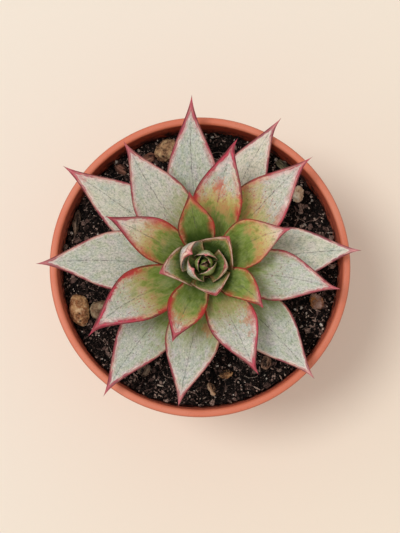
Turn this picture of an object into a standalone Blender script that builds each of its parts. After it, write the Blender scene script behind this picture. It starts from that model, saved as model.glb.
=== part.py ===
"""Potted echeveria: a rosette of thick pointed leaves in a plain terracotta-coloured plastic pot.

Metres, +Z up. The origin is the centre of the pot's flat underside. Every size below is in
millimetres or degrees, and is turned into metres where a mesh is made.
"""

import math

import bmesh
import bpy
from mathutils import Vector, noise

MM = 0.001
CLEARANCE = 0.3          # gap kept between neighbouring solids
MERGE = 0.01             # points closer than this are one
SHARP_ANGLE = 35.0       # edges turned further than this are shaded sharp

# Pot
RIM_RADIUS = 60.0
POT_HEIGHT = 95.0
RIM_WALL = 3.1           # width of the rim seen from above
RIM_BAND = 15.0          # height of the thicker band under the rim
BAND_DRAFT = 1.3         # the band's inner face comes in by this much over its height
BAND_TAPER = 0.8         # and its outer face by this much
BAND_STEP = 1.6          # how far the band stands out over the body
BODY_WALL = 2.0
BASE_RADIUS = 43.0
FLOOR = 2.6
FLOOR_LIFT = 2.0         # the ring of floor with the holes stands this high off the table
FOOT_WIDTH = 6.0
CENTRE_PAD_RADIUS = 13.0
FOOT_SLANT = 1.0         # the sides of the foot ring and of the pad lean by this much
EDGE_ROUND = 1.0
EDGE_STEPS = 3
DRAIN_HOLES = 6
DRAIN_HOLE_RADIUS = 3.6
DRAIN_RING_RADIUS = 25.0
DRAIN_HOLE_SIDES = 16
DRAIN_CUT_DEPTH = 3 * FLOOR
POT_SIDES = 64

# Soil
SOIL_TOP = 83.0          # 12 mm below the rim
SOIL_RELIEF = 1.1
SOIL_LUMP = 4.5          # spacing of the lumps, with finer ones half that size on them
SOIL_SEED = 7
SOIL_MOUND = 1.4         # the soil rises a little round the stem
MOUND_REACH = 40.0
SOIL_RINGS = 13
SOIL_SIDES = 64
SEAT_MARGIN = 3.2        # flat soil kept round each stone and chip
SEAT_EASE = 1.5          # the flat place runs out into the lumps by this many of its radii
SEAT_DEPTH = 1.0         # they are pressed in by this much

# Stem, which stands off the pot's axis
STEM_X = 2.7
STEM_Y = -1.2
STEM_FOOT_RADIUS = 8.4
STEM_TIP_RADIUS = 4.0
STEM_FOOT_Z = 85.0
STEM_TOP = 107.5
NECK_DROP = 6.5          # the foot stays this wide below the soil's surface
ROOT_DEPTH = 26.0        # how far the root stub goes down below the foot
ROOT_TIP_RADIUS = 2.5
ROOT_POINT = 1.0         # height of the stub's blunt point
STEM_SIDES = 24

# Rosette: leaf 0 is the youngest, and each older one stands a divergence angle further round
DIVERGENCE = 137.6
FIRST_AZIMUTH = 114.4
HEART_LEAVES = 9         # the youngest ones, still joined in the heart of the rosette
OLDEST_LEAF = 31
YOUNGEST_AGE = 6         # the leaf from which age is counted
LOWEST_LEAF_Z = 87.5
LEAF_SPACING = 0.9       # height between one leaf's base and the next

# The leaves outside the heart, from the youngest to the oldest. Leaf 30 has been shed. Each row is
# (degrees off the spiral, length, greatest width, sideways bow of the midrib).
LEAVES = {
    9: (13, 19.0, 16.0, 0.0),
    10: (1, 18.5, 17.5, 0.0),
    11: (5, 26.0, 16.5, -2.0),
    12: (-6, 39.0, 13.0, 2.5),
    13: (1, 36.5, 14.5, 0.5),
    14: (6, 42.0, 15.0, -1.0),
    15: (3, 41.0, 18.5, 2.5),
    16: (0, 49.5, 16.5, -1.0),
    17: (0, 53.5, 19.0, 0.5),
    18: (6, 53.5, 19.5, 1.5),
    19: (3, 57.0, 21.0, -4.0),
    20: (2, 54.0, 20.5, 2.0),
    21: (0, 58.0, 22.5, 1.0),
    22: (-3, 55.0, 21.5, 0.0),
    23: (7, 57.0, 22.0, 1.5),
    24: (3, 64.0, 24.0, -2.5),
    25: (-1, 57.0, 22.0, 1.5),
    26: (3, 63.5, 21.0, 2.5),
    27: (2, 60.0, 21.5, -3.0),
    28: (-1, 55.5, 22.5, 2.0),
    29: (0, 63.5, 21.5, -1.0),
    31: (4, 60.0, 20.0, 3.0),
}
LEAF_STATIONS = 10
LEAF_SIDES = 12
YOUNG_LEAF_SIDES = 8
FEW_SIDES_FROM = 0.75    # how young a leaf is that has the fewer sides, from 0 (oldest) to 1
GREEN_FROM = 0.6         # and one that is still green
STRAIGHT_FROM = 0.72     # from here on the leaves get straighter sides
STRAIGHT_BY = 0.8        # and these are quite straight
WIDEST_AT = 0.44         # share of the leaf's length from its base
YOUNG_WIDEST_AT = 0.3
BASE_SHARE = 0.46        # width at the stem, as a share of the greatest
POINT_SHARE = 0.25       # 0 draws the tip out to a spine, 1 rounds it
OLD_SLOPE = 9.0          # degrees above the horizontal at the base of the oldest leaf
SLOPE_RANGE = 53.0       # how much steeper the youngest one is
SLOPE_POWER = 1.6
OLD_BEND = 9.0           # degrees that the midrib turns upwards along the oldest leaf
BEND_RANGE = 18.0
OLD_THICKNESS = 4.0
YOUNG_THICKNESS = 2.2
BASE_THICKNESS = 0.55    # share of a leaf's thickness at its base
FULL_THICKNESS_AT = 0.4
THINNING_POWERS = (2.2, 0.8)
OLD_CUP = 0.08           # how far the margins rise over the midrib, as a share of the half width
YOUNG_CUP = 0.42
UPPER_SHARE = 0.25       # of the thickness lies above the leaf's middle surface
CLASP_SHARE = 0.22       # of the length, over which the base follows the stem's round
CLASP_LIMIT = 0.9        # of the stem's radius, which the base wraps at most

# Heart: each pair of sizes is for its youngest leaf and its oldest
HEART_STATIONS = 8
HEART_CORE_RADIUS = 3.7
HEART_CORE_TIP_RADIUS = 1.0
HEART_CORE_HEIGHT = 8.0
HEART_SWINGS = (0, 0, 0, 0, 0, 0, -12, -3, 19)
HEART_FOOT = (0.6, 3.0)      # distance from the axis
HEART_STEP = (5.0, 1.3)      # height over the stem's tip
HEART_LENGTH = (5.5, 13.0)
HEART_WIDTH = (4.0, 10.0)
HEART_THICKNESS = (1.2, 1.8)
HEART_LOW_SLOPE = (75, 52)
HEART_HIGH_SLOPE = (105, 80)

# Loose pieces on the soil: (x, y, length, width, height, turn in degrees)
PUMICE = (
    (-48.6, -16.8, 12.6, 8.0, 6.5, 100),
    (-40.0, -17.0, 8.6, 7.6, 5.2, 20),
    (-13.8, 48.0, 10.5, 7.6, 5.6, 50),
    (39.7, 30.3, 6.6, 4.2, 3.4, 80),
    (47.0, -13.4, 6.4, 5.2, 3.6, 120),
)
BARK = (
    (-20.5, 45.2, 5.4, 4.0, 2.4, 20),
    (-32.0, 40.5, 5.6, 4.0, 2.6, 150),
    (10.6, -42.6, 5.2, 3.4, 2.0, 10),
    (4.9, -48.6, 6.0, 3.0, 1.8, 115),
    (26.6, -38.0, 6.2, 3.8, 2.2, 75),
    (-22.4, -41.2, 5.6, 4.4, 2.2, 60),
    (-50.0, 18.8, 10.5, 2.8, 2.0, 82),
    (34.0, 42.0, 8.6, 3.0, 2.0, 140),
)
STONE_ROUGHNESS = 0.16   # share of a stone's radius
STONE_LUMPS = 1.6        # lumps across a stone's radius
STONE_LOWEST = -0.55     # stones and chips are flat below this share of their half height
PUMICE_SEED = 10
BARK_SEED = 110
SEED_STEP = 10

COLOURS = {              # linear base colour and roughness
    "terracotta_plastic": ((0.62, 0.19, 0.11), 0.45),
    "potting_soil": ((0.02, 0.014, 0.012), 0.95),
    "old_leaf": ((0.42, 0.47, 0.37), 0.6),
    "young_leaf": ((0.20, 0.30, 0.08), 0.5),
    "stem": ((0.20, 0.12, 0.06), 0.8),
    "pumice": ((0.50, 0.33, 0.17), 0.9),
    "bark": ((0.16, 0.09, 0.05), 0.9),
}


def mix(a, b, share):
    return a + (b - a) * share


def clamp(x):
    return min(max(x, 0.0), 1.0)


def smoothstep(x):
    x = clamp(x)
    return x * x * (3 - 2 * x)


def clear_scene():
    for obj in list(bpy.data.objects):
        bpy.data.objects.remove(obj)


def material(name):
    found = bpy.data.materials.get(name)
    if found:
        return found
    colour, roughness = COLOURS[name]
    made = bpy.data.materials.new(name)
    made.use_nodes = True
    shader = made.node_tree.nodes["Principled BSDF"]
    shader.inputs["Base Color"].default_value = (*colour, 1)
    shader.inputs["Roughness"].default_value = roughness
    shader.inputs["Metallic"].default_value = 0.0
    return made


def add_object(name, mesh, look, collection, parent=None):
    obj = bpy.data.objects.new(name, mesh)
    mesh.materials.append(material(look))
    collection.objects.link(obj)
    obj.parent = parent
    return obj


def mesh_from(bm, name):
    """Turns a bmesh in millimetres into a smooth-shaded mesh in metres."""
    bmesh.ops.scale(bm, vec=(MM, MM, MM), verts=bm.verts)
    mesh = bpy.data.meshes.new(name)
    bm.to_mesh(mesh)
    bm.free()
    mesh.shade_smooth()
    mesh.set_sharp_from_angle(angle=math.radians(SHARP_ANGLE))
    return mesh


def turned(name, profile, sides, look, collection):
    """A solid of revolution. The profile is (radius, height) pairs that run down its outer side."""
    bm = bmesh.new()
    points = [bm.verts.new((radius * MM, 0, height * MM)) for radius, height in profile]
    for a, b in zip(points, points[1:]):
        bm.edges.new((a, b))
    mesh = bpy.data.meshes.new(name)
    bm.to_mesh(mesh)
    bm.free()
    obj = add_object(name, mesh, look, collection)
    screw = obj.modifiers.new("turn", "SCREW")
    screw.steps = screw.render_steps = sides
    screw.use_merge_vertices = True
    screw.merge_threshold = MERGE * MM
    screw.use_smooth_shade = True
    return obj


def arc(centre_r, centre_z, radius, start, end, steps):
    """Points of a rounded edge, from one angle to another in degrees."""
    angles = [math.radians(mix(start, end, i / steps)) for i in range(steps + 1)]
    return [(centre_r + radius * math.cos(a), centre_z + radius * math.sin(a)) for a in angles]


def inner_wall_radius(z):
    """The pot's inner face: nearly upright inside the band, then the body's draft."""
    shoulder = POT_HEIGHT - RIM_BAND
    shoulder_radius = RIM_RADIUS - RIM_WALL - BAND_DRAFT
    if z > shoulder:
        return shoulder_radius + BAND_DRAFT * (z - shoulder) / RIM_BAND
    floor_top = FLOOR_LIFT + FLOOR
    return mix(BASE_RADIUS - BODY_WALL, shoulder_radius, (z - floor_top) / (shoulder - floor_top))


def build_pot(collection, cutters):
    shoulder = POT_HEIGHT - RIM_BAND
    floor_top = FLOOR_LIFT + FLOOR
    band_radius = RIM_RADIUS - BAND_TAPER
    inner_rim = RIM_RADIUS - RIM_WALL
    foot_inner = BASE_RADIUS - FOOT_WIDTH
    profile = [(0, floor_top), (inner_wall_radius(floor_top), floor_top)]
    profile += [(inner_wall_radius(shoulder), shoulder)]
    profile += arc(inner_rim + EDGE_ROUND, POT_HEIGHT - EDGE_ROUND, EDGE_ROUND, 180, 90, EDGE_STEPS)
    profile += arc(RIM_RADIUS - EDGE_ROUND, POT_HEIGHT - EDGE_ROUND, EDGE_ROUND, 90, 0, EDGE_STEPS)
    profile += arc(band_radius - EDGE_ROUND / 2, shoulder + EDGE_ROUND / 2, EDGE_ROUND / 2, 0, -90, 2)
    profile += [(band_radius - BAND_STEP, shoulder)]
    profile += [(BASE_RADIUS, EDGE_ROUND), (BASE_RADIUS - EDGE_ROUND, 0)]
    profile += [(foot_inner, 0), (foot_inner - FOOT_SLANT, FLOOR_LIFT)]
    profile += [(CENTRE_PAD_RADIUS + FOOT_SLANT, FLOOR_LIFT), (CENTRE_PAD_RADIUS, 0), (0, 0)]
    pot = turned("pot", profile, POT_SIDES, "terracotta_plastic", collection)

    for i in range(DRAIN_HOLES):
        turn = 2 * math.pi * i / DRAIN_HOLES
        bpy.ops.mesh.primitive_cylinder_add(
            vertices=DRAIN_HOLE_SIDES,
            radius=DRAIN_HOLE_RADIUS * MM,
            depth=DRAIN_CUT_DEPTH * MM,
            location=(
                DRAIN_RING_RADIUS * math.cos(turn) * MM,
                DRAIN_RING_RADIUS * math.sin(turn) * MM,
                (FLOOR_LIFT + FLOOR / 2) * MM,
            ),
        )
        hole = bpy.context.object
        hole.name = f"drain_hole_cutter_{i + 1}"
        hole.hide_render = True
        hole.display_type = "WIRE"
        for owner in list(hole.users_collection):
            owner.objects.unlink(hole)
        cutters.objects.link(hole)
    cut = pot.modifiers.new("drain holes", "BOOLEAN")
    cut.operation = "DIFFERENCE"
    cut.operand_type = "COLLECTION"
    cut.collection = cutters
    return pot


def stem_radius(z):
    """The stem narrows from its foot to its top."""
    up = clamp((z - STEM_FOOT_Z) / (STEM_TOP - STEM_FOOT_Z))
    return mix(STEM_FOOT_RADIUS, STEM_TIP_RADIUS, up)


def build_stem(collection):
    root_z = STEM_FOOT_Z - ROOT_DEPTH
    profile = [(0, STEM_TOP), (STEM_TIP_RADIUS, STEM_TOP)]
    profile += [(STEM_FOOT_RADIUS, STEM_FOOT_Z), (STEM_FOOT_RADIUS, STEM_FOOT_Z - NECK_DROP)]
    profile += [(ROOT_TIP_RADIUS, root_z + ROOT_POINT), (0, root_z)]
    stem = turned("stem", profile, STEM_SIDES, "stem", collection)
    stem.location = (STEM_X * MM, STEM_Y * MM, 0)
    return stem


def seats():
    """The places where stones and chips are pressed into the soil: (x, y, flat radius)."""
    return [(x, y, max(length, width) / 2 + SEAT_MARGIN) for x, y, length, width, *_ in PUMICE + BARK]


def soil_height(x, y):
    """Lumpy soil with a low mound round the stem, level where a stone or a chip lies."""
    coarse = noise.noise(Vector((x, y, 0)) / SOIL_LUMP)
    fine = noise.noise(Vector((y, x, SOIL_SEED)) / (SOIL_LUMP / 2))
    from_stem = math.hypot(x - STEM_X, y - STEM_Y)
    mound = SOIL_MOUND * (1 - smoothstep(from_stem / MOUND_REACH))
    height = SOIL_TOP + SOIL_RELIEF * (coarse + fine / 2) + mound
    for seat_x, seat_y, radius in seats():
        away = math.hypot(x - seat_x, y - seat_y)
        level = smoothstep((SEAT_EASE - away / radius) / (SEAT_EASE - 1))
        height = mix(height, SOIL_TOP - SEAT_DEPTH, level)
    return height


def build_soil(collection):
    """A turned plug with a hole for the root stub, whose top face is then made lumpy."""
    root_z = STEM_FOOT_Z - ROOT_DEPTH
    neck_z = STEM_FOOT_Z - NECK_DROP
    hole_radius = STEM_FOOT_RADIUS + CLEARANCE
    shoulder = POT_HEIGHT - RIM_BAND
    bottom = FLOOR_LIFT + FLOOR + CLEARANCE
    outer_radius = inner_wall_radius(shoulder) - CLEARANCE
    hole = [(0, root_z - ROOT_POINT), (ROOT_TIP_RADIUS + 2 * CLEARANCE, root_z), (hole_radius, neck_z)]
    top = [
        (mix(hole_radius, outer_radius, i / SOIL_RINGS), SOIL_TOP) for i in range(SOIL_RINGS + 1)
    ]
    side = [(outer_radius, shoulder), (inner_wall_radius(bottom) - CLEARANCE, bottom), (0, bottom)]

    bm = bmesh.new()
    line = [bm.verts.new((radius, 0, z)) for radius, z in hole + top + side]
    for a, b in zip(line, line[1:]):
        bm.edges.new((a, b))
    bmesh.ops.spin(
        bm,
        geom=bm.verts[:] + bm.edges[:],
        cent=(0, 0, 0),
        axis=(0, 0, 1),
        angle=2 * math.pi,
        steps=SOIL_SIDES,
        use_merge=True,
    )
    bmesh.ops.remove_doubles(bm, verts=bm.verts, dist=MERGE)
    for vert in bm.verts:
        # the hole is round the stem's axis, and the outside round the pot's
        radius = math.hypot(vert.co.x, vert.co.y)
        off_centre = clamp((outer_radius - radius) / (outer_radius - hole_radius))
        if vert.co.z < root_z - 2 * ROOT_POINT:
            off_centre = 0.0
        vert.co.x += STEM_X * off_centre
        vert.co.y += STEM_Y * off_centre
        if abs(vert.co.z - SOIL_TOP) < MERGE:
            vert.co.z = soil_height(vert.co.x, vert.co.y)
    bmesh.ops.recalc_face_normals(bm, faces=bm.faces)
    return add_object("soil", mesh_from(bm, "soil"), "potting_soil", collection)


def youth(leaf):
    """1 for a leaf in the heart, 0 for the oldest."""
    return (OLDEST_LEAF - leaf) / (OLDEST_LEAF - YOUNGEST_AGE)


def leaf_azimuth(leaf):
    return FIRST_AZIMUTH + DIVERGENCE * leaf


def leaf_height(leaf):
    return LOWEST_LEAF_Z + (OLDEST_LEAF - leaf) * LEAF_SPACING


def leaf_slopes(leaf):
    """Degrees above the horizontal at a leaf's base and at its tip: old leaves lie nearly flat."""
    base = OLD_SLOPE + SLOPE_RANGE * youth(leaf) ** SLOPE_POWER
    return base, base + OLD_BEND + BEND_RANGE * youth(leaf)


def half_width_share(along, straight):
    """Half width along a leaf: 1 at its widest place, drawn out to a point at its tip."""
    widest = mix(WIDEST_AT, YOUNG_WIDEST_AT, straight)
    if along < widest:
        return mix(BASE_SHARE, 1.0, math.sin(math.pi / 2 * along / widest))
    to_tip = (1 - along) / (1 - widest)
    side = mix(smoothstep(to_tip), to_tip, straight)
    return mix(side, math.sin(math.pi / 2 * to_tip), POINT_SHARE)


def thickness_share(along):
    near_tip, blunt = THINNING_POWERS
    filled = mix(BASE_THICKNESS, 1.0, smoothstep(along / FULL_THICKNESS_AT))
    return filled * (1 - along**near_tip) ** blunt


def leaf_bmesh(foot, length, slopes, width, thickness, cup, bow, sides, stations, straight=0.0, clasp=True):
    """A fleshy leaf that grows from radius foot along +X, with its midrib an arc between two slopes.

    A ball is reshaped: its rings become the leaf's sections and its poles the base and the tip.
    """
    low, high = (math.radians(a) for a in slopes)
    bm = bmesh.new()
    bmesh.ops.create_uvsphere(bm, u_segments=sides, v_segments=stations, radius=1)
    for vert in bm.verts:
        ring = round(math.acos(max(-1.0, min(1.0, -vert.co.z))) / math.pi * stations)
        around = math.atan2(vert.co.y, vert.co.x)
        along = max(ring - 1, 0) / (stations - 1)
        half = width / 2 * half_width_share(along, straight)
        thick = thickness * thickness_share(along)
        across = 0.0 if ring in (0, stations) else math.cos(around)
        swell = 1 - across * across
        rise = cup * half * across * across
        if ring in (0, stations):
            rise = 0.0
        elif math.sin(around) > 0:
            rise += UPPER_SHARE * thick * swell
        else:
            rise -= (1 - UPPER_SHARE) * thick * swell
        slope = mix(low, high, along)
        # near the stem the section stands upright, further out it is square to the midrib
        lean = slope * smoothstep(along / CLASP_SHARE)
        bend = high - low
        radius = foot + length * (math.sin(slope) - math.sin(low)) / bend - rise * math.sin(lean)
        height = length * (math.cos(low) - math.cos(slope)) / bend + rise * math.cos(lean)
        side = half * across + bow * 4 * along * (1 - along)
        if clasp:
            wrap = min(half * abs(across), CLASP_LIMIT * foot)
            hollow = foot - math.sqrt(foot * foot - wrap * wrap)
            radius -= hollow * (1 - smoothstep(along / CLASP_SHARE))
        vert.co = (radius, side, height)
    return bm


def build_leaf(leaf, order, rosette, collection):
    swing, length, width, bow = LEAVES[leaf]
    young = youth(leaf)
    height = leaf_height(leaf)
    thickness = mix(OLD_THICKNESS, YOUNG_THICKNESS, young)
    foot = stem_radius(height - thickness / 2) + CLEARANCE
    bm = leaf_bmesh(
        foot=foot,
        length=length,
        slopes=leaf_slopes(leaf),
        width=width,
        thickness=thickness,
        cup=mix(OLD_CUP, YOUNG_CUP, young),
        bow=bow,
        sides=LEAF_SIDES if young < FEW_SIDES_FROM else YOUNG_LEAF_SIDES,
        stations=LEAF_STATIONS,
        straight=clamp((young - STRAIGHT_FROM) / (STRAIGHT_BY - STRAIGHT_FROM)),
    )
    name = f"leaf_{order:02d}"
    look = "young_leaf" if young > GREEN_FROM else "old_leaf"
    obj = add_object(name, mesh_from(bm, name), look, collection, rosette)
    obj.location = (0, 0, height * MM)
    obj.rotation_euler.z = math.radians(leaf_azimuth(leaf) + swing)
    return obj


def build_heart(rosette, collection):
    """The youngest leaves, upright round a core that sits on the stem's tip, as one solid."""
    base_z = STEM_TOP + CLEARANCE
    core = bmesh.new()
    bmesh.ops.create_cone(
        core,
        cap_ends=True,
        segments=YOUNG_LEAF_SIDES,
        radius1=HEART_CORE_RADIUS,
        radius2=HEART_CORE_TIP_RADIUS,
        depth=HEART_CORE_HEIGHT,
    )
    bmesh.ops.translate(core, verts=core.verts, vec=(0, 0, HEART_CORE_HEIGHT / 2))
    heart = add_object("heart", mesh_from(core, "heart"), "young_leaf", collection, rosette)
    heart.location = (0, 0, base_z * MM)

    joined = bpy.data.collections.new("heart leaves")
    bpy.context.scene.collection.children.link(joined)
    for leaf, swing in enumerate(HEART_SWINGS):
        old = leaf / (HEART_LEAVES - 1)
        bm = leaf_bmesh(
            foot=mix(*HEART_FOOT, old),
            length=mix(*HEART_LENGTH, old),
            slopes=(mix(*HEART_LOW_SLOPE, old), mix(*HEART_HIGH_SLOPE, old)),
            width=mix(*HEART_WIDTH, old),
            thickness=mix(*HEART_THICKNESS, old),
            cup=YOUNG_CUP,
            bow=0.0,
            sides=YOUNG_LEAF_SIDES,
            stations=HEART_STATIONS,
            clasp=False,
        )
        obj = add_object("heart leaf", mesh_from(bm, "heart leaf"), "young_leaf", joined, rosette)
        obj.location = (0, 0, (base_z + mix(*HEART_STEP, old)) * MM)
        obj.rotation_euler.z = math.radians(leaf_azimuth(leaf) + swing)

    join = heart.modifiers.new("join", "BOOLEAN")
    join.operation = "UNION"
    join.solver = "MANIFOLD"
    join.operand_type = "COLLECTION"
    join.collection = joined
    bpy.context.view_layer.update()
    graph = bpy.context.evaluated_depsgraph_get()
    fused = bpy.data.meshes.new_from_object(heart.evaluated_get(graph))
    heart.modifiers.clear()
    heart.data = fused
    for obj in list(joined.objects):
        bpy.data.objects.remove(obj)
    bpy.data.collections.remove(joined)
    return heart


def build_loose_piece(name, place, look, seed, collection):
    """A rough lump with a flat underside that lies on a level place in the soil."""
    x, y, length, width, height, turn = place
    bm = bmesh.new()
    bmesh.ops.create_icosphere(bm, subdivisions=2, radius=1)
    for vert in bm.verts:
        rough = 1 + STONE_ROUGHNESS * noise.noise(vert.co * STONE_LUMPS + Vector((seed, 0, 0)))
        vert.co *= rough
        vert.co.z = max(vert.co.z, STONE_LOWEST)
        vert.co.x *= length / 2
        vert.co.y *= width / 2
        vert.co.z = (vert.co.z - STONE_LOWEST) * height / (1 - STONE_LOWEST)
    obj = add_object(name, mesh_from(bm, name), look, collection)
    obj.location = (x * MM, y * MM, (SOIL_TOP - SEAT_DEPTH + CLEARANCE) * MM)
    obj.rotation_euler.z = math.radians(turn)
    return obj


def main():
    clear_scene()
    plant = bpy.data.collections.new("potted echeveria")
    cutters = bpy.data.collections.new("cutters")
    for collection in (plant, cutters):
        bpy.context.scene.collection.children.link(collection)
    build_pot(plant, cutters)
    build_soil(plant)
    build_stem(plant)

    rosette = bpy.data.objects.new("rosette", None)
    rosette.location = (STEM_X * MM, STEM_Y * MM, 0)
    plant.objects.link(rosette)
    for order, leaf in enumerate(sorted(LEAVES), start=1):
        build_leaf(leaf, order, rosette, plant)
    build_heart(rosette, plant)

    for i, place in enumerate(PUMICE):
        build_loose_piece(f"pumice_{i + 1}", place, "pumice", PUMICE_SEED + SEED_STEP * i, plant)
    for i, place in enumerate(BARK):
        build_loose_piece(f"bark_{i + 1}", place, "bark", BARK_SEED + SEED_STEP * i, plant)


if __name__ == "__main__":
    main()
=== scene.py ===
import math
import re

import bmesh
import bpy
from mathutils import Matrix, Vector
from mathutils.bvhtree import BVHTree


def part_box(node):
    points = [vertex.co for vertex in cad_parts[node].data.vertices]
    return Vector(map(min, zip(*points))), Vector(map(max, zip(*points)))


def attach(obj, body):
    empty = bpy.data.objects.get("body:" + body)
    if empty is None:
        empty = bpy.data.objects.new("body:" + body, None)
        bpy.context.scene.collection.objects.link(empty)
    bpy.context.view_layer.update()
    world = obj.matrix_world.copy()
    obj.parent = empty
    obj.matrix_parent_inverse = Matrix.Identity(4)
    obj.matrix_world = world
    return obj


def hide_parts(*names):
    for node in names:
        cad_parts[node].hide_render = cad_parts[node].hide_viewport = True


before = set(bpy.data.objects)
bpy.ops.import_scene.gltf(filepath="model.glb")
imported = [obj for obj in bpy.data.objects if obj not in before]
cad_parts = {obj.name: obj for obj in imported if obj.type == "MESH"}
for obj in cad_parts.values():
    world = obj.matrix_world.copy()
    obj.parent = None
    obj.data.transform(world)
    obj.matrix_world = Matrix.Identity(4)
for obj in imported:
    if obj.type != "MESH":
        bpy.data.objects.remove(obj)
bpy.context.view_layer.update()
mm = 0.001
wholeTurn = 6.283  # radians
print("frame loaded:", len(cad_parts), "nodes")


# An output socket that Python works on: every operator adds its Math node.
class Wire:
    def __init__(self, tree, socket):
        self.tree = tree
        self.socket = socket

    # Any node: its type, its settings (set first), then the values or links of its sockets.
    @staticmethod
    def add(tree, kind, settings=None, sockets=None, out=0):
        node = tree.nodes.new(kind)
        for name, value in (settings or {}).items():
            if name == "stops":
                ramp = node.color_ramp.elements
                while len(ramp) < len(value):
                    ramp.new(0.5)
                for stop, (place, shade) in zip(ramp, value):
                    stop.position = place
                    stop.color = shade
            else:
                setattr(node, name, value)
        for key, value in (sockets or {}).items():
            if isinstance(value, Wire):
                tree.links.new(value.socket, node.inputs[key])
            elif isinstance(value, list):
                for each in value:
                    tree.links.new(each.socket, node.inputs[key])
            else:
                node.inputs[key].default_value = value
        return Wire(tree, node.outputs[out])

    def other(self, name):
        return Wire(self.tree, self.socket.node.outputs[name])

    def maths(self, operation, *values):
        return Wire.add(self.tree, "ShaderNodeMath", {"operation": operation}, dict(enumerate(values)))

    def __add__(self, value):
        return self.maths("ADD", self, value)

    def __sub__(self, value):
        return self.maths("SUBTRACT", self, value)

    def __rsub__(self, value):
        return self.maths("SUBTRACT", value, self)

    def __mul__(self, value):
        return self.maths("MULTIPLY", self, value)

    def __truediv__(self, value):
        return self.maths("DIVIDE", self, value)

    def __pow__(self, value):
        return self.maths("POWER", self, value)

    def __gt__(self, value):
        return self.maths("GREATER_THAN", self, value)

    def __lt__(self, value):
        return self.maths("LESS_THAN", self, value)

    def __abs__(self):
        return self.maths("ABSOLUTE", self)

    def __neg__(self):
        return self.maths("MULTIPLY", self, -1.0)

    __radd__ = __add__
    __rmul__ = __mul__

    def sin(self):
        return self.maths("SINE", self)

    def cos(self):
        return self.maths("COSINE", self)

    def root(self):
        return self.maths("SQRT", self)

    def atLeast(self, value):
        return self.maths("MAXIMUM", self, value)

    def atMost(self, value):
        return self.maths("MINIMUM", self, value)

    # 0 below low, 1 above high, eased between them
    def eased(self, low=0.0, high=1.0):
        return Wire.add(self.tree, "ShaderNodeMapRange", {"interpolation_type": "SMOOTHSTEP"},
                        {"Value": self, "From Min": low, "From Max": high})

    # 1 below low, 0 above high
    def fading(self, low=0.0, high=1.0):
        return 1 - self.eased(low, high)

    # 1 at the middle, falling to 0 at twice the spread
    def bell(self, middle, spread):
        away = (self - middle) / spread
        return (abs(away) * 0.5).fading()

    # a noise's sway to both sides of nought
    def sway(self, size):
        return (self - 0.5) * size

    def parts(self):
        split = Wire.add(self.tree, "ShaderNodeSeparateXYZ", {}, {0: self})
        return split, split.other("Y"), split.other("Z")


def between(a, b, share):
    return a + (b - a) * share


def clamped(value):
    return min(max(value, 0.0), 1.0)


def distance(x, y):
    return (x * x + y * y).root()


def joined(tree, x, y, z):
    return Wire.add(tree, "ShaderNodeCombineXYZ", {}, {0: x, 1: y, 2: z})


def vectorMaths(operation, a, b):
    return Wire.add(a.tree, "ShaderNodeVectorMath", {"operation": operation}, {0: a, 1: b})


def scaled(vector, factor):
    return Wire.add(vector.tree, "ShaderNodeVectorMath", {"operation": "SCALE"}, {0: vector, "Scale": factor})


def grain(spot, scale, detail=2.0, roughness=0.5):
    return Wire.add(spot.tree, "ShaderNodeTexNoise", {"noise_dimensions": "3D"}, {
        "Vector": spot, "Scale": scale, "Detail": detail, "Roughness": roughness})


def cells(spot, scale):
    return Wire.add(spot.tree, "ShaderNodeTexVoronoi", {}, {"Vector": spot, "Scale": scale})


def mixColour(share, a, b):
    tree = next(value.tree for value in (share, a, b) if isinstance(value, Wire))
    settings = {"data_type": "RGBA", "clamp_factor": True}
    return Wire.add(tree, "ShaderNodeMix", settings, {0: share, 6: a, 7: b}, out=2)


# Coats of colour, each a share and a shade, laid over the base one after the other
def coated(base, *coats):
    for share, shade in coats:
        base = mixColour(share, base, shade)
    return base


# sRGB numbers from 0 to 255, as read off a picture, as a linear colour
def colour(red, green, blue):
    def linear(value):
        value = value / 255
        return value / 12.92 if value <= 0.04045 else ((value + 0.055) / 1.055) ** 2.4
    return (linear(red), linear(green), linear(blue), 1.0)


def newMaterial(name, fixed):
    made = bpy.data.materials.new(name)
    made.use_nodes = True
    shader = made.node_tree.nodes["Principled BSDF"]
    for key, value in fixed.items():
        shader.inputs[key].default_value = value
    return made, made.node_tree, shader


def finishMaterial(tree, shader, base, roughness, height=None, depth=0.0, strength=1.0):
    tree.links.new(base.socket, shader.inputs["Base Color"])
    tree.links.new(roughness.socket, shader.inputs["Roughness"])
    if height is not None:
        bump = Wire.add(tree, "ShaderNodeBump", {}, {
            "Strength": strength, "Distance": depth, "Height": height})
        tree.links.new(bump.socket, shader.inputs["Normal"])


def objectPlace(tree):
    return Wire.add(tree, "ShaderNodeTexCoord", {}, {}, out="Object")


def attribute(tree, name, out="Vector"):
    return Wire.add(tree, "ShaderNodeAttribute", {"attribute_name": name}, {}, out=out)


def here(tree):
    return Wire.add(tree, "GeometryNodeInputPosition")


# An input's label from its plain name: lumpScale is shown as Lump Scale
def label(name):
    return re.sub("([A-Z])", r" \1", name).title()


# A geometry tree that takes a mesh and named inputs; the kind of each input follows its value
def growTree(name, inputs):
    tree = bpy.data.node_groups.new(name, "GeometryNodeTree")
    tree.interface.new_socket("Mesh", in_out="INPUT", socket_type="NodeSocketGeometry")
    tree.interface.new_socket("Result", in_out="OUTPUT", socket_type="NodeSocketGeometry")
    kinds = {bool: "NodeSocketBool", int: "NodeSocketInt", float: "NodeSocketFloat",
             bpy.types.Material: "NodeSocketMaterial"}
    for key, value in inputs.items():
        socket = tree.interface.new_socket(label(key), in_out="INPUT", socket_type=kinds[type(value)])
        socket.default_value = value
    start = tree.nodes.new("NodeGroupInput")
    return tree, {key: Wire(tree, start.outputs[label(key)]) for key in ("mesh", *inputs)}


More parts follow.
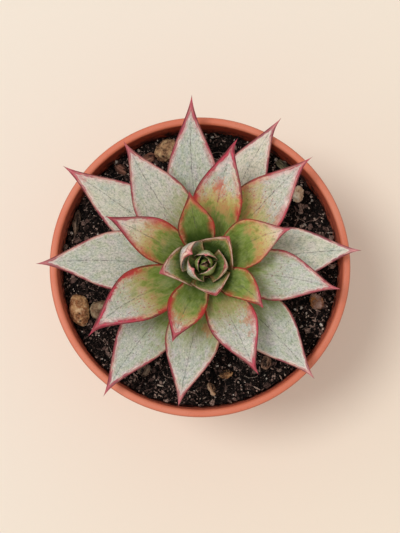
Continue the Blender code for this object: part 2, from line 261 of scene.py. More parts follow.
# Ends a tree in Realize Instances and Set Material
def endTree(mesh, material, smooth=True):
    tree = mesh.tree
    mesh = Wire.add(tree, "GeometryNodeRealizeInstances", {}, {"Geometry": mesh})
    mesh = Wire.add(tree, "GeometryNodeSetShadeSmooth", {}, {"Geometry": mesh, "Shade Smooth": smooth})
    mesh = Wire.add(tree, "GeometryNodeSetMaterial", {}, {"Geometry": mesh, "Material": material})
    end = tree.nodes.new("NodeGroupOutput")
    tree.links.new(mesh.socket, end.inputs["Result"])


def keep(mesh, name, value, kind="FLOAT", domain="POINT"):
    return Wire.add(mesh.tree, "GeometryNodeStoreNamedAttribute", {"data_type": kind, "domain": domain},
                    {"Geometry": mesh, "Name": name, "Value": value})


def setPlace(mesh, key, value):
    return Wire.add(mesh.tree, "GeometryNodeSetPosition", {}, {"Geometry": mesh, key: value})


def added(name, data):
    made = bpy.data.objects.new(name, data)
    bpy.context.scene.collection.objects.link(made)
    return made


# An object's mesh as its modifiers leave it
def asModified(source):
    graph = bpy.context.evaluated_depsgraph_get()
    return bpy.data.meshes.new_from_object(source.evaluated_get(graph), depsgraph=graph)


# Runs a tree on a mesh and gives the result as a plain mesh
def grown(name, tree, values, mesh=None):
    source = added(name, mesh or bpy.data.meshes.new(name))
    modifier = source.modifiers.new(tree.name, "NODES")
    modifier.node_group = tree
    identifiers = {socket.name: socket.identifier for socket in tree.interface.items_tree}
    for key, value in values.items():
        modifier[identifiers[label(key)]] = value
    result = asModified(source)
    source.modifiers.remove(modifier)
    bpy.data.objects.remove(source)
    result.name = name
    return result


def place(name, mesh, slot, *nodes):
    piece = added(name, mesh)
    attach(piece, "root")
    if nodes:
        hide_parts(*nodes)


def asMesh(name, work):
    mesh = bpy.data.meshes.new(name)
    work.to_mesh(mesh)
    work.free()
    return mesh


# A merged copy of a CAD node's mesh, which is loose triangles
def copyOf(node):
    work = bmesh.new()
    work.from_mesh(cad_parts[node].data)
    bmesh.ops.remove_doubles(work, verts=work.verts, dist=0.005 * mm)
    return asMesh(node, work)


# Turns a profile of (radius, height) pairs round the Z axis
def spun(name, profile, sides):
    work = bmesh.new()
    line = [work.verts.new((radius, 0, z)) for radius, z in profile]
    for a, b in zip(line, line[1:]):
        work.edges.new((a, b))
    bmesh.ops.spin(work, geom=work.verts[:] + work.edges[:], cent=(0, 0, 0), axis=(0, 0, 1),
                   angle=2 * math.pi, steps=sides, use_merge=True)
    bmesh.ops.remove_doubles(work, verts=work.verts, dist=0.001 * mm)
    bmesh.ops.recalc_face_normals(work, faces=work.faces)
    return asMesh(name, work)


# Pot. The pairs of its rounds, its floor and its pad are how far sideways and how far up.
pot = {
    "sides": 192,
    "rimWall": 3.1 * mm,
    "rimBand": 15 * mm,
    "bandDraft": 1.3 * mm,
    "bandTaper": 0.8 * mm,
    "bandStep": 1.6 * mm,
    "bodyWall": 2 * mm,
    "baseRadius": 43 * mm,
    "floor": 2.6 * mm,
    "floorLift": 2 * mm,
    "cornerOut": 0.5 * mm,
    "floorRound": (2.5 * mm, 2 * mm),
    "footWidth": 6 * mm,
    "footFlare": 0.1 * mm,
    "footSlope": 0.6 * mm,
    "centrePad": 13 * mm,
    "padSlope": 0.8 * mm,
    "padEdge": (0.5 * mm, 0.4 * mm),
    "innerRound": 1.2 * mm,
    "outerRound": 1.1 * mm,
    "bandRound": 0.6 * mm,
    "stepRound": (0.3 * mm, 0.4 * mm),
    "footRound": 1 * mm,
    "footLip": 0.5 * mm,
    "edgeSteps": 7,
    "sharpFrom": 32,
    "drainHoles": 6,
    "drainSides": 32,
    "drainRadius": 3.6 * mm,
    "drainRing": 25 * mm,
    # the marks' places; each pair is the heights or radii between which a mark comes or goes
    "rubbedTo": 30 * mm,
    "wallTaper": 0.19,
    "wallBend": 80 * mm,
    "wallRadius": (56.7 * mm, 57.3 * mm),
    "wallFrom": (60 * mm, 70 * mm),
    "splashes": (84 * mm, 91 * mm),
    "shadeRun": 55 * mm,
    # a painted shade line round the rim's outer round: its radius, width and heights
    "rimShadeRadius": 59.85 * mm,
    "rimShadeWidth": 0.16 * mm,
    "rimShadeFrom": (92 * mm, 94 * mm),
    "plastic": colour(207, 112, 82),
    "plasticPale": colour(213, 126, 97),
    "plasticDeep": colour(168, 72, 48),
    # the inner wall's colours are painted light and shade: inside is a lit copy of the plastic, brighter than
    # it, and insideShaded a shaded copy
    "inside": colour(224, 110, 82),
    "insideShaded": colour(154, 50, 24),
    # the colour of the painted shade on the rim's outer round
    "rimShadeColour": colour(112, 48, 28),
    "dust": colour(196, 150, 124),
    "dirt": colour(34, 18, 12),
}


def arcPoints(centreR, centreZ, radius, start, end, steps):
    angles = [math.radians(between(start, end, i / steps)) for i in range(steps + 1)]
    return [(centreR + radius * math.cos(a), centreZ + radius * math.sin(a)) for a in angles]


def potMaterial():
    made, tree, shader = newMaterial("terracotta plastic", {"Specular IOR Level": 0.34})
    spot = objectPlace(tree)
    x, y, z = spot.parts()
    radius = distance(x, y)
    cloud = grain(spot, 38.0, 3.0)
    fleck = grain(spot, 1500.0, 2.0, 0.6)
    # fine dust and rubbed marks on the outside, denser towards the foot
    scratch = grain(vectorMaths("MULTIPLY", spot, (1.0, 1.0, 9.0)), 240.0, 4.0, 0.65)
    rubbed = scratch.eased(0.6, 0.78) * (0.15 + 0.5 * z.fading(0.0, pot["rubbedTo"]))
    # a little soil left on the inner wall, and splashes of it low down
    within = (radius - (z - pot["wallBend"]).atMost(0.0) * pot["wallTaper"]).fading(*pot["wallRadius"])
    inside = within * z.eased(*pot["wallFrom"])
    low = z.fading(*pot["splashes"])
    stain = grain(spot, 300.0, 4.0, 0.7)
    smear = inside * (low * stain.eased(0.38, 0.56) * 0.9 + stain.eased(0.6, 0.7) * 0.5).atMost(1.0)
    # painted light and shade on the inner wall: lighter than the plastic where the light would reach it,
    # darker towards the back (+y), where it is in shade
    paintedWallShading = mixColour((y / pot["shadeRun"]).eased(0.0, 0.9), pot["inside"], pot["insideShaded"])
    # painted shade: a thin dark line round the rim's outer round, where it turns away from the light
    paintedRimShade = radius.bell(pot["rimShadeRadius"], pot["rimShadeWidth"]) * z.eased(*pot["rimShadeFrom"]) * (0.2 + 0.45 * cloud)
    base = coated(
        pot["plastic"],
        (cloud.eased(0.35, 0.7), pot["plasticPale"]),
        (fleck.eased(0.58, 0.75) * 0.35, pot["plasticDeep"]),
        (rubbed, pot["dust"]),
        (inside * 0.9, paintedWallShading),
        (smear, pot["dirt"]),
        (paintedRimShade, pot["rimShadeColour"]))
    roughness = between(0.42, 0.55, grain(spot, 90.0, 4.0)) + rubbed * 0.2 + smear * 0.25
    finishMaterial(tree, shader, base, roughness, fleck * 0.5 + scratch * 0.5, 0.06 * mm, 0.5)
    return made


def buildPot():
    low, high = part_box("pot")
    rim, top = high.x, high.z
    shoulder = top - pot["rimBand"]
    floorTop = pot["floorLift"] + pot["floor"]
    bore = rim - pot["rimWall"]
    band = rim - pot["bandTaper"]
    base = pot["baseRadius"]
    corner = base - pot["bodyWall"] + pot["cornerOut"]
    footInner = base - pot["footWidth"]
    pad = pot["centrePad"]
    inner, outer, bandRound = pot["innerRound"], pot["outerRound"], pot["bandRound"]
    foot, lip = pot["footRound"], pot["footLip"]
    # the inside, from the middle of the floor up to the rim
    profile = [(0, floorTop), (corner - pot["floorRound"][0], floorTop)]
    profile += [(corner, floorTop + pot["floorRound"][1]), (bore - pot["bandDraft"], shoulder)]
    profile += arcPoints(bore + inner, top - inner, inner, 180, 90, pot["edgeSteps"])
    # the outside, down to the foot
    profile += arcPoints(rim - outer, top - outer, outer, 90, 0, pot["edgeSteps"])
    profile += arcPoints(band - bandRound, shoulder + bandRound, bandRound, 0, -90, 4)
    profile += [(band - pot["bandStep"] + pot["stepRound"][0], shoulder),
                (band - pot["bandStep"], shoulder - pot["stepRound"][1])]
    profile += arcPoints(base + pot["footFlare"] - foot, foot, foot, 0, -90, 5)
    # the underside, in to the pad in its middle
    profile += arcPoints(footInner + lip, lip, lip, -90, -180, 3)
    profile += [(footInner - pot["footSlope"], pot["floorLift"]), (pad + pot["padSlope"], pot["floorLift"])]
    profile += [(pad, pot["padEdge"][1]), (pad - pot["padEdge"][0], 0), (0, 0)]
    mesh = spun("pot shell", profile, pot["sides"])

    # the drain holes are cut with one mesh of rods
    rods = bmesh.new()
    for i in range(pot["drainHoles"]):
        turn = Matrix.Rotation(2 * math.pi * i / pot["drainHoles"], 4, "Z")
        where = turn @ Matrix.Translation((pot["drainRing"], 0, floorTop / 2))
        bmesh.ops.create_cone(rods, cap_ends=True, segments=pot["drainSides"], radius1=pot["drainRadius"],
                              radius2=pot["drainRadius"], depth=3 * floorTop, matrix=where)
    rodObject = added("drain rods", asMesh("drain rods", rods))
    shell = added("pot shell", mesh)
    cut = shell.modifiers.new("drain holes", "BOOLEAN")
    cut.operation = "DIFFERENCE"
    cut.object = rodObject
    result = asModified(shell)
    bpy.data.objects.remove(shell)
    bpy.data.objects.remove(rodObject)
    result.shade_smooth()
    result.set_sharp_from_angle(angle=math.radians(pot["sharpFrom"]))
    result.materials.clear()
    result.materials.append(potMaterial())
    place("plasticPot", result, "pot", "pot")


buildPot()
print("pot turned")


# Soil: a bed with fine relief, then what lies on it
soil = {
    "relief": {"subdivisions": 2, "top": 80.4 * mm, "lumps": 0.9 * mm, "lumpScale": 300.0, "fines": 0.5 * mm,
               "finesScale": 1200.0, "bank": 3.5 * mm},
    "bankFrom": (49.5 * mm, 55 * mm),  # where the bank begins and where it is full
    "bankSide": (0.1, 0.9),
    "lumpShapes": 5,
    "reach": 55.7 * mm,
    # black is the bed's ground, painted near black as shade in the gaps between the crumbs; the crumbs also
    # take it as their darkest tone
    "black": (0.0022, 0.0016, 0.0016, 1),
    "peat": (0.0105, 0.0056, 0.0042, 1),
    "brown": (0.17, 0.1, 0.082, 1),
    "tan": (0.44, 0.3, 0.24, 1),
    "straw": (0.6, 0.46, 0.36, 1),
    "white": (0.62, 0.57, 0.5, 1),
}

# density in lumps per square metre, smallest and largest radius, and tones from 0, black, to 1, white
scatters = {
    "soilCrumbs": {"seed": 3, "density": 225000.0, "small": 0.35 * mm, "large": 1.05 * mm, "stretch": 1.4,
                   "flat": 0.8, "rough": 0.7, "detail": 2, "sink": -0.3, "darkest": 0.0, "palest": 0.9},
    "soilFines": {"seed": 11, "density": 900000.0, "small": 0.18 * mm, "large": 0.5 * mm, "stretch": 1.5,
                  "flat": 0.8, "rough": 0.6, "detail": 1, "sink": -0.6, "darkest": 0.05, "palest": 1.0},
    "soilSplinters": {"seed": 29, "density": 160000.0, "small": 0.16 * mm, "large": 0.42 * mm, "stretch": 4.0,
                      "flat": 0.7, "rough": 0.45, "detail": 1, "sink": -1.4, "darkest": 0.4, "palest": 0.95},
}
fibres = {
    "inputs": {"seed": 5, "density": 30000.0, "short": 2 * mm, "long": 8 * mm, "thin": 0.012},
    "bends": (0.35, -0.22, 0.12, 0.5),
    "lift": (0.4 * mm, 1.6 * mm),
    "fromWall": 3 * mm,
}
# white grains: x and y in mm, on the soil among the stones
perlite = {
    "inputs": {"seed": 41, "small": 0.45 * mm, "large": 0.8 * mm, "stretch": 1.1, "flat": 0.9, "rough": 0.4,
               "detail": 3, "sink": 0.0, "darkest": 0.96, "palest": 1.0, "onPoints": True},
    "spots": ((-41.7, 14.4), (-52.2, 14.4), (5.4, 53.6), (44.6, 29.5), (45.4, 27.8), (38.4, -16.4),
              (41.6, -16.0), (48.8, -22.9), (-35.0, 44.6), (31.5, 44.5), (-47.5, -25.5)),
    "level": 84,
    "lift": 0.8 * mm,
}


def soilMaterial():
    made, tree, shader = newMaterial("potting soil", {"Specular IOR Level": 0.08})
    spot = objectPlace(tree)
    clod = grain(spot, 520.0, 4.0, 0.7)
    mote = grain(spot, 2300.0, 3.0, 0.7)
    wet = grain(spot, 900.0, 2.0)
    # the bed is painted near black as shade in the gaps between the crumbs, with clods of peat, brown and tan
    # on it
    base = coated(
        soil["black"],
        (clod.eased(0.46, 0.68), soil["peat"]),
        (clod.eased(0.62, 0.76) * 0.7, soil["brown"]),
        (mote.eased(0.58, 0.7) * clod.eased(0.4, 0.55) * 0.6, soil["tan"]))
    height = clod + grain(spot, 2600.0, 3.0) * 0.5
    finishMaterial(tree, shader, base, between(0.55, 0.95, wet), height, 0.5 * mm)
    return made


# What lies on the soil takes its tone from a stored number
def crumbMaterial(name, paleSpots):
    made, tree, shader = newMaterial(name, {"Specular IOR Level": 0.12})
    stops = [(0.0, soil["black"]), (0.55, soil["peat"]), (0.78, soil["brown"]), (0.88, soil["tan"]),
             (0.94, soil["straw"]), (1.0, soil["white"])]
    tone = attribute(tree, "crumbTone", "Fac")
    patch = grain(objectPlace(tree), 2100.0, 3.0, 0.7)
    base = coated(
        Wire.add(tree, "ShaderNodeValToRGB", {"stops": stops}, {"Fac": tone}),
        (patch.eased(0.46, 0.6) * 0.7, soil["black"]),
        (patch.fading(0.33, 0.41) * paleSpots, soil["tan"]))
    finishMaterial(tree, shader, base, between(0.5, 0.95, patch), patch, 0.3 * mm)
    return made


def bedTree(inputs):
    tree, given = growTree("soil bed", inputs)
    mesh = Wire.add(tree, "GeometryNodeSubdivideMesh", {}, {
        "Mesh": given["mesh"], "Level": given["subdivisions"]})
    spot = here(tree)
    lump = grain(spot, given["lumpScale"], 3.0).sway(2) * given["lumps"]
    fine = grain(spot, given["finesScale"], 2.0).sway(2) * given["fines"]
    x, y, z = spot.parts()
    radius = distance(x, y)
    bank = radius.eased(*soil["bankFrom"]) * (-y / radius).eased(*soil["bankSide"]) * given["bank"]
    rise = (lump + fine + bank) * (z > given["top"])
    endTree(setPlace(mesh, "Offset", joined(tree, 0.0, 0.0, rise)), given["material"])
    return tree


# Points on the upper side of the given mesh, within a reach of the pot's axis
def pointsOnTop(tree, given):
    x, y, z = here(tree).parts()
    upward = Wire.add(tree, "GeometryNodeInputNormal").parts()[2]
    inReach = (distance(x, y) < given["reach"]) * (z > given["top"]) * (upward > 0.3)
    return Wire.add(tree, "GeometryNodeDistributePointsOnFaces", {}, {
        "Mesh": given["mesh"], "Selection": inReach > 0.5, "Density": given["density"],
        "Seed": given["seed"]})


def draw(seed, low, high, step):
    return Wire.add(seed.tree, "FunctionNodeRandomValue", {"data_type": "FLOAT"}, {
        2: low, 3: high, "Seed": seed + float(step)}, out=1)


# One of the shapes on each point, picked at random
def sown(seed, points, shapes, turn, size, step):
    tree = seed.tree
    each = [Wire.add(tree, "GeometryNodeGeometryToInstance", {}, {"Geometry": shape}) for shape in shapes]
    family = Wire.add(tree, "GeometryNodeJoinGeometry", {}, {"Geometry": each})
    which = Wire.add(tree, "FunctionNodeRandomValue", {"data_type": "INT"}, {
        4: 0, 5: len(shapes) - 1, "Seed": seed + float(step)}, out=2)
    return Wire.add(tree, "GeometryNodeInstanceOnPoints", {}, {
        "Points": points, "Instance": family, "Pick Instance": True, "Instance Index": which,
        "Rotation": turn, "Scale": size})


def scatterTree(inputs):
    tree, given = growTree("scattered lumps", inputs)
    seed = given["seed"]
    exact = Wire.add(tree, "GeometryNodeMeshToPoints", {}, {"Mesh": given["mesh"]})
    points = Wire.add(tree, "GeometryNodeSwitch", {"input_type": "GEOMETRY"}, {
        "Switch": given["onPoints"], "False": pointsOnTop(tree, given), "True": exact})

    # each lump is a ball with its own dents
    ball = Wire.add(tree, "GeometryNodeMeshIcoSphere", {}, {"Radius": 1.0, "Subdivisions": given["detail"]})
    spot = here(tree)
    lumps = []
    for i in range(soil["lumpShapes"]):
        shifted = vectorMaths("ADD", spot, (7.3 * i, 2.1 * i, 5.7 * i))
        dent = grain(shifted, 0.95, 2.0, 0.7).sway(2) * given["rough"]
        lumps.append(setPlace(ball, "Position", scaled(spot, 1 + dent * 1.6)))

    size = between(given["small"], given["large"], draw(seed, 0.0, 1.0, 1) ** 2.2)
    shape = joined(tree, size * given["stretch"] * draw(seed, 0.75, 1.25, 2),
                   size * draw(seed, 0.75, 1.2, 3), size * given["flat"] * draw(seed, 0.7, 1.2, 4))
    turn = joined(tree, draw(seed, -0.5, 0.5, 5), draw(seed, -0.5, 0.5, 6), draw(seed, 0.0, wholeTurn, 7))
    sunk = setPlace(points, "Offset", joined(tree, 0.0, 0.0, -size * given["sink"]))
    placed = sown(seed, sunk, lumps, turn, shape, 8)
    tone = between(given["darkest"], given["palest"], draw(seed, 0.0, 1.0, 9))
    placed = keep(placed, "crumbTone", tone, domain="INSTANCE")
    endTree(placed, given["material"], smooth=False)
    return tree


def fibreTree(inputs):
    tree, given = growTree("root fibres", inputs)
    seed = given["seed"]
    ring = Wire.add(tree, "GeometryNodeCurvePrimitiveCircle", {}, {"Resolution": 5, "Radius": given["thin"]})
    strands = []
    for i, bend in enumerate(fibres["bends"]):
        line = Wire.add(tree, "GeometryNodeCurveQuadraticBezier", {}, {
            "Resolution": 9, "Start": (-0.5, 0.0, 0.0), "Middle": (0.1 * i, bend, 0.22),
            "End": (0.5, 0.05 * i, 0.04)})
        strands.append(Wire.add(tree, "GeometryNodeCurveToMesh", {}, {
            "Curve": line, "Profile Curve": ring, "Fill Caps": True}))
    lift = joined(tree, 0.0, 0.0, draw(seed, *fibres["lift"], 1))
    points = setPlace(pointsOnTop(tree, given), "Offset", lift)
    size = between(given["short"], given["long"], draw(seed, 0.0, 1.0, 2) ** 2.0)
    turn = joined(tree, draw(seed, -0.6, 0.6, 3), draw(seed, -0.25, 0.25, 4), draw(seed, 0.0, wholeTurn, 5))
    placed = sown(seed, points, strands, turn, size, 6)
    placed = keep(placed, "crumbTone", draw(seed, 0.55, 0.95, 7), domain="INSTANCE")
    endTree(placed, given["material"])
    return tree


soilFinish = soilMaterial()
crumbFinish = crumbMaterial("soil crumb", 0.3)
relief = {**soil["relief"], "material": soilFinish}
bed = grown("soil bed", bedTree(relief), relief, copyOf("soil"))
onSoil = {"top": relief["top"], "reach": soil["reach"], "material": crumbFinish}
scatter = scatterTree({**scatters["soilCrumbs"], **onSoil, "onPoints": False})
for name, row in scatters.items():
    mesh = grown(name, scatter, {**row, **onSoil}, bed.copy())
    place(name, mesh, "soil")
    print(name, len(mesh.polygons), "faces")
nearMiddle = {**fibres["inputs"], **onSoil, "reach": soil["reach"] - fibres["fromWall"]}
strands = grown("fibres", fibreTree(nearMiddle), nearMiddle, bed.copy())
place("rootFibres", strands, "soil")
print("fibres", len(strands.polygons), "faces")

bedFaces = BVHTree.FromPolygons([v.co for v in bed.vertices], [tuple(p.vertices) for p in bed.polygons])
grains = bmesh.new()
for x, y in perlite["spots"]:
    near = bedFaces.find_nearest(Vector((x, y, perlite["level"])) * mm)[0]
    grains.verts.new(near + Vector((0, 0, perlite["lift"])))
white = {**perlite["inputs"], "material": crumbMaterial("perlite", 0.0)}
place("perliteGrains", grown("perlite", scatter, white, asMesh("perlite", grains)), "soil")
place("soilBed", bed, "soil", "soil")
print("soil laid")


# Stones and bark chips: rounded copies of the plain ones, roughened by one tree. The crack share is how
# strongly their cracks take the colour of their pits.
looseKinds = {
    "pumice": {"crack": 0.3, "rough": {
        "level": 3, "swell": 0.4 * mm, "lumps": 1.0 * mm, "lumpScale": 330.0, "grit": 0.55 * mm,
        "gritScale": 1500.0, "pits": 0.55 * mm, "pitScale": 620.0, "stretch": 1.0}},
    "bark": {"crack": 1.0, "rough": {
        "level": 3, "swell": 0.05 * mm, "lumps": 1.1 * mm, "lumpScale": 620.0, "grit": 0.5 * mm,
        "gritScale": 1900.0, "pits": 0.2 * mm, "pitScale": 900.0, "stretch": 5.0}},
}
# the way the grain runs, in degrees, and the shades from pale to deep
loosePieces = {
    "pumice_1": {"turn": 100, "pit": (70, 38, 24), "shades": (
        (226, 192, 150), (190, 144, 98), (146, 92, 56))},
    "pumice_2": {"turn": 20, "pit": (50, 32, 24), "shades": ((170, 152, 122), (140, 112, 86), (98, 72, 52))},
    "pumice_3": {"turn": 50, "pit": (52, 30, 20), "shades": ((212, 178, 132), (168, 128, 92), (104, 68, 48))},
    "pumice_4": {"turn": 80, "pit": (190, 148, 108), "shades": (
        (255, 248, 228), (254, 236, 206), (244, 214, 176))},
    "pumice_5": {"turn": 120, "pit": (50, 30, 24), "shades": (
        (194, 166, 152), (146, 112, 98), (170, 108, 52))},
    "bark_1": {"turn": 20, "pit": (26, 14, 10), "shades": ((150, 108, 88), (112, 70, 54), (60, 34, 26))},
    "bark_2": {"turn": 150, "pit": (26, 14, 10), "shades": ((146, 102, 84), (106, 66, 52), (56, 34, 26))},
    "bark_3": {"turn": 10, "pit": (36, 22, 14), "shades": ((226, 184, 132), (180, 126, 80), (86, 54, 34))},
    "bark_4": {"turn": 115, "pit": (36, 22, 14), "shades": ((232, 200, 166), (184, 140, 104), (92, 62, 46))},
    "bark_5": {"turn": 75, "pit": (32, 20, 16), "shades": ((188, 156, 130), (146, 112, 90), (82, 58, 46))},
    "bark_6": {"turn": 60, "pit": (24, 18, 14), "shades": ((152, 132, 112), (112, 92, 76), (58, 44, 36))},
    "bark_7": {"turn": 82, "pit": (22, 14, 10), "shades": ((172, 146, 124), (104, 82, 66), (50, 36, 28))},
    "bark_8": {"turn": 140, "pit": (22, 18, 14), "shades": ((140, 132, 104), (96, 88, 64), (48, 42, 32))},
}


def looseMaterial(name, row, crack):
    made, tree, shader = newMaterial(name, {"Specular IOR Level": 0.25})
    spot = objectPlace(tree)
    veins = attribute(tree, "roughGrain", "Fac")
    holes = attribute(tree, "roughPit", "Fac")
    patch = grain(spot, 330.0, 3.0, 0.6)
    fine = grain(spot, 2400.0, 3.0, 0.65)
    pale, main, deep = (colour(*shade) for shade in row["shades"])
    pit = colour(*row["pit"])
    base = coated(
        main,
        (patch.eased(0.42, 0.62), deep),
        (veins.eased(0.5, 0.68) * 0.8, pale),
        (veins.fading(0.34, 0.46) * 0.6, deep),
        ((veins + fine.sway(0.2)).fading(0.4, 0.46) * crack, pit),
        (fine.eased(0.52, 0.7) * 0.5, pale),
        (fine.fading(0.32, 0.44) * 0.5, pit),
        (holes, pit))
    finishMaterial(tree, shader, base, between(0.7, 0.95, fine), fine * 0.6 + veins * 0.4, 0.4 * mm)
    return made


def roughTree(inputs):
    tree, given = growTree("roughened", inputs)
    mesh = Wire.add(tree, "GeometryNodeSubdivisionSurface", {}, {
        "Mesh": given["mesh"], "Level": given["level"]})
    spot = here(tree)
    level = Wire.add(tree, "ShaderNodeVectorRotate", {"rotation_type": "Z_AXIS"}, {
        "Vector": spot, "Angle": -given["turn"]})
    x, y, z = level.parts()
    drawn = joined(tree, x / given["stretch"], y, z)
    veins = grain(drawn, given["lumpScale"], 3.0, 0.6)
    grit = grain(drawn, given["gritScale"], 2.0)
    porous = grain(spot, 480.0, 1.0).eased(0.46, 0.56)
    pit = cells(drawn, given["pitScale"]).fading(0.16, 0.42) * porous
    rise = given["swell"] + veins.sway(2) * given["lumps"]
    rise = rise + grit.sway(2) * given["grit"] - pit * given["pits"]
    mesh = keep(mesh, "roughGrain", veins)
    mesh = keep(mesh, "roughPit", pit)
    push = scaled(Wire.add(tree, "GeometryNodeInputNormal"), rise)
    endTree(setPlace(mesh, "Offset", push), given["material"])
    return tree


roughening = roughTree({**looseKinds["pumice"]["rough"], "turn": 0.0, "material": soilFinish})
for node, row in loosePieces.items():
    slot = node.split("_")[0]
    kind = looseKinds[slot]
    finish = looseMaterial(node + " look", row, kind["crack"])
    values = {**kind["rough"], "turn": math.radians(row["turn"]), "material": finish}
    place(node + "Rough", grown(node, roughening, values, copyOf(node)), slot, node)
print("stones and chips:", len(loosePieces))


# Stem, mostly hidden under the leaves
stem = {
    "sides": 96,
    "footRadius": 8.4 * mm,
    "tipRadius": 4 * mm,
    "footZ": 85 * mm,
    "neckDrop": 6.5 * mm,
    "rootTip": 2.5 * mm,
    "rootPoint": 1 * mm,
    "scarSpacing": 0.9 * mm,
    "scarDepth": 0.15 * mm,
    "ringsPerScar": 3,
    "rough": {"level": 0, "swell": -0.3 * mm, "lumps": 0.35 * mm, "lumpScale": 260.0, "grit": 0.2 * mm,
              "gritScale": 1500.0, "pits": 0.15 * mm, "pitScale": 500.0, "stretch": 1.0},
    "crack": 0.3,
    "shades": ((158, 138, 96), (124, 100, 66), (84, 60, 40)),
    "pit": (44, 30, 20),
}
stemLow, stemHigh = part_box("stem")
stemX = (stemLow.x + stemHigh.x) / 2
stemY = (stemLow.y + stemHigh.y) / 2
stemTop = stemHigh.z


def stemRadius(z):
    up = (z - stem["footZ"]) / (stemTop - stem["footZ"])
    return between(stem["footRadius"], stem["tipRadius"], clamped(up))


def buildStem():
    neck = stem["footZ"] - stem["neckDrop"]
    rings = round((stemTop - neck) / (stem["scarSpacing"] / stem["ringsPerScar"]))
    profile = [(0, stemTop)]
    for i in range(rings + 1):
        z = between(stemTop, neck, i / rings)
        groove = stem["scarDepth"] if i % stem["ringsPerScar"] else 0
        profile.append((stemRadius(z) - groove, z))
    profile += [(stem["rootTip"], stemLow.z + stem["rootPoint"]), (0, stemLow.z)]
    mesh = spun("stem", profile, stem["sides"])
    mesh.transform(Matrix.Translation((stemX, stemY, 0)))
    finish = looseMaterial("stem bark", stem, stem["crack"])
    values = {**stem["rough"], "turn": 0.0, "material": finish}
    place("scarredStem", grown("stem", roughening, values, mesh), "stem", "stem")


buildStem()
print("stem turned")


# Leaves: leaf 0 is the youngest, and each older one stands a divergence angle further round. Each pair is for
# the oldest leaf and the youngest, apart from the relief's scale across and along the leaf.
rosette = {
    "divergence": 137.6,
    "firstAzimuth": 114.4,
    "oldest": 31,
    "youngestAge": 6,
    "lowestLeaf": 87.5 * mm,
    "spacing": 0.9 * mm,
    "clearance": 0.3 * mm,
    "slope": (9, 62),
    "slopeCurve": 1.6,
    "bend": (9, 27),
    "straightFrom": 0.72,
    "straightOver": 0.08,
}
leafShape = {
    "stations": 78,
    "sides": 44,
    "cap": 0.03,
    "widestAt": (0.44, 0.3),
    "baseShare": 0.46,
    "claspShare": 0.22,
    "upperShare": 0.25,
    "edgeRound": 0.3,
    "thickness": (4.0 * mm, 2.2 * mm),
    "baseThickness": 0.55,
    "thickestFrom": 0.4,
    "cup": (0.08, 0.42),
    "groove": 0.3 * mm,
    "grooveWidth": 1.1 * mm,
    "keel": 0.16,
    "wave": 0.35 * mm,
    "relief": 0.28 * mm,
    "reliefScale": (110.0, 75.0),
    "hookFrom": 0.86,
    "mergeWithin": 0.002 * mm,
    "rim": 0.72,
    "stainedRim": 0.4,
    "paleRim": 0.85,
}

